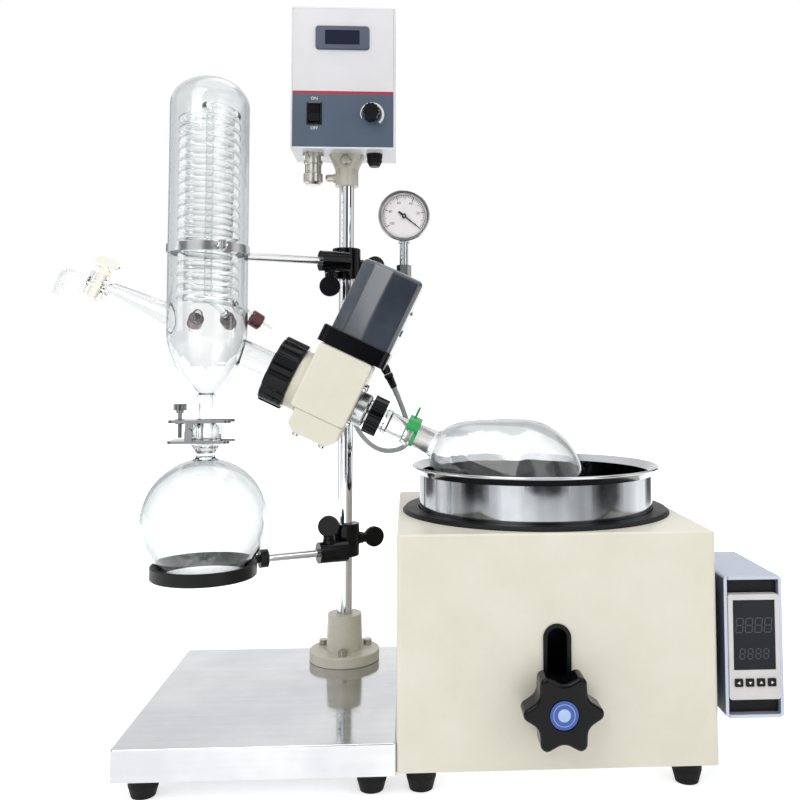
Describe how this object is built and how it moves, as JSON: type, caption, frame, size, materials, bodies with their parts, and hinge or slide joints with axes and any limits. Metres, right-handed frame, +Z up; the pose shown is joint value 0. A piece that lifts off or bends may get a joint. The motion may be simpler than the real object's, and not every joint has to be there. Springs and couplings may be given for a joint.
{
  "type": "rotary evaporator",
  "caption": "Bench rotary evaporator: tilted drive head with rotating flask over a heated bath, coil condenser, ring-held receiving flask, control box on a column.",
  "frame": {"origin": "centre of the whole outline, on the bench", "axes": "+Z up, -Y towards the user, +X to the user's right"},
  "size_m": [0.7358, 0.336, 0.817],
  "materials": {
    "cream_enamel": "satin",
    "stand_casting": "satin",
    "slate_casing": "satin",
    "blue_grey_housing": "satin",
    "panel_print": "matte",
    "brushed_stainless": "brushed",
    "polished_stainless": "polished",
    "chromed": "polished",
    "black_gloss": "gloss",
    "black_metal": "satin",
    "plated_screw": "satin",
    "heater_sheath": "dull",
    "black_matte": "matte",
    "keys": "matte",
    "feet": "matte",
    "clear_glass": "clear",
    "red_caps": "gloss",
    "green_clip": "gloss",
    "pointer_black": "matte",
    "lead_sheath": "matte"
  },
  "bodies": {
    "stand": {"base_tray": "brushed_stainless", "rubber_feet": "feet", "column_flange": "stand_casting", "stand_screws": "chromed", "column_rod": "chromed", "box_bracket": "stand_casting", "control_box_casing": "cream_enamel", "control_front_panel": "panel_print", "box_sockets": "plated_screw", "bath_casing": "cream_enamel", "bath_base_pan": "brushed_stainless", "casing_trims": "black_matte", "controller_housing": "blue_grey_housing", "controller_bezel": "black_matte"},
    "rocker": {"power_rocker": "black_gloss"},
    "speed_dial": {"speed_knob": "black_gloss"},
    "pot_frame": {"heating_pot": "polished_stainless", "heater_ring": "heater_sheath", "lift_bracket": "brushed_stainless"},
    "lift_knob": {"star_knob": "black_gloss"},
    "key_1": {"controller_key_1": "keys"},
    "key_2": {"controller_key_2": "keys"},
    "key_3": {"controller_key_3": "keys"},
    "key_4": {"controller_key_4": "keys"},
    "head": {"head_housing": "cream_enamel", "gear_cover": "cream_enamel", "column_clamp": "cream_enamel", "head_screws": "chromed", "motor_flange": "black_gloss", "motor_casing": "slate_casing", "bearings_and_seal": "brushed_stainless", "condenser_jacket": "clear_glass", "condenser_coil": "clear_glass", "coolant_caps": "red_caps", "receiving_flask": "clear_glass", "condenser_band": "brushed_stainless", "upper_boss_head": "black_gloss", "gauge_post": "slate_casing", "gauge_case": "chromed", "gauge_lens": "clear_glass", "pinch_jaw_lower": "black_metal", "motor_lead": "lead_sheath"},
    "rotating_glass": {"spindle": "brushed_stainless", "drive_gear": "brushed_stainless", "vapour_duct": "clear_glass", "evaporating_flask": "clear_glass", "keck_clip": "green_clip"},
    "collar": {"locking_collar": "black_gloss"},
    "rotor": {"pinion_shaft": "brushed_stainless"},
    "coupling_nut": {"condenser_nut": "black_gloss"},
    "valve_plug": {"stopcock_plug": "clear_glass"},
    "upper_jaw": {"pinch_jaw_upper": "black_metal"},
    "jaw_screw": {"pinch_screw": "plated_screw"},
    "upper_column_thumbscrew": {"upper_column_screw": "black_gloss"},
    "upper_rod_thumbscrew": {"upper_rod_screw": "black_gloss"},
    "ring_clamp": {"lower_boss_head": "black_gloss", "support_ring": "black_metal"},
    "lower_column_thumbscrew": {"lower_column_screw": "black_gloss"},
    "lower_rod_thumbscrew": {"lower_rod_screw": "black_gloss"},
    "pointer": {"gauge_pointer": "pointer_black"}
  },
  "joints": [
    {"name": "head_slide", "type": "slide", "parent": "stand", "child": "head", "axis": [0, 0, 1], "range_m": [0, 0.045], "deforming": ["motor_lead"]},
    {"name": "flask_spin", "type": "hinge", "parent": "head", "child": "rotating_glass", "pos_m": [-0.11696, 0.023, 0.387], "axis": [0.9026, 0, -0.4305], "continuous": true},
    {"name": "motor_spin", "type": "hinge", "parent": "head", "child": "rotor", "pos_m": [-0.0628, 0.023, 0.36117], "axis": [0.4305, 0, 0.9026], "continuous": true},
    {"name": "collar_turn", "type": "hinge", "parent": "rotating_glass", "child": "collar", "pos_m": [-0.11696, 0.023, 0.387], "axis": [0.9026, 0, -0.4305], "range_deg": [0, 270]},
    {"name": "nut_turn", "type": "hinge", "parent": "head", "child": "coupling_nut", "pos_m": [-0.11696, 0.023, 0.387], "axis": [0.9026, 0, -0.4305], "range_deg": [0, 270]},
    {"name": "valve_turn", "type": "hinge", "parent": "head", "child": "valve_plug", "pos_m": [-0.32031, 0.023, 0.48399], "axis": [0.4305, 0, 0.9026], "range_deg": [-90, 90]},
    {"name": "jaw_hinge", "type": "hinge", "parent": "head", "child": "upper_jaw", "pos_m": [-0.21506, 0.023, 0.323], "axis": [0, -1, 0], "range_deg": [0, 8]},
    {"name": "jaw_screw_travel", "type": "slide", "parent": "upper_jaw", "child": "jaw_screw", "axis": [0, 0, 1], "range_m": [-0.0022, 0.0018]},
    {"name": "upper_column_screw_turn", "type": "hinge", "parent": "head", "child": "upper_column_thumbscrew", "pos_m": [-0.05556, 0.11, 0.517], "axis": [0.9171, 0.3986, 0], "range_deg": [0, 180]},
    {"name": "upper_rod_screw_turn", "type": "hinge", "parent": "head", "child": "upper_rod_thumbscrew", "pos_m": [-0.07247, 0.07866, 0.517], "axis": [0, 0, -1], "range_deg": [0, 180]},
    {"name": "ring_slide", "type": "slide", "parent": "stand", "child": "ring_clamp", "axis": [0, 0, 1], "range_m": [-0.06, 0]},
    {"name": "lower_column_screw_turn", "type": "hinge", "parent": "ring_clamp", "child": "lower_column_thumbscrew", "pos_m": [-0.05556, 0.11, 0.19], "axis": [0.9171, 0.3986, 0], "range_deg": [0, 180]},
    {"name": "lower_rod_screw_turn", "type": "hinge", "parent": "ring_clamp", "child": "lower_rod_thumbscrew", "pos_m": [-0.07247, 0.07866, 0.181], "axis": [0, 0, 1], "range_deg": [0, 180]},
    {"name": "pointer_turn", "type": "hinge", "parent": "head", "child": "pointer", "pos_m": [0.01394, 0.074, 0.569], "axis": [0, -1, 0], "range_deg": [0, 250], "stiffness_Nm_per_rad": 0.002},
    {"name": "pot_lift", "type": "slide", "parent": "stand", "child": "pot_frame", "axis": [0, 0, 1], "range_m": [-0.025, 0.01]},
    {"name": "knob_turn", "type": "hinge", "parent": "pot_frame", "child": "lift_knob", "pos_m": [0.15594, -0.132, 0.086], "axis": [0, 1, 0], "range_deg": [0, 270]},
    {"name": "rocker_tip", "type": "hinge", "parent": "stand", "child": "rocker", "pos_m": [-0.09096, 0.071, 0.6896], "axis": [-1, 0, 0], "range_deg": [0, 20]},
    {"name": "speed_turn", "type": "hinge", "parent": "stand", "child": "speed_dial", "pos_m": [-0.02426, 0.068, 0.6896], "axis": [0, 1, 0], "range_deg": [-135, 135]},
    {"name": "key_1_press", "type": "slide", "parent": "stand", "child": "key_1", "axis": [0, 1, 0], "range_m": [0, 0.0007], "stiffness_N_per_m": 500},
    {"name": "key_2_press", "type": "slide", "parent": "stand", "child": "key_2", "axis": [0, 1, 0], "range_m": [0, 0.0007], "stiffness_N_per_m": 500},
    {"name": "key_3_press", "type": "slide", "parent": "stand", "child": "key_3", "axis": [0, 1, 0], "range_m": [0, 0.0007], "stiffness_N_per_m": 500},
    {"name": "key_4_press", "type": "slide", "parent": "stand", "child": "key_4", "axis": [0, 1, 0], "range_m": [0, 0.0007], "stiffness_N_per_m": 500}
  ],
  "couplings": [
    {"joint": "motor_spin", "follows": "flask_spin", "ratio": -3}
  ]
}
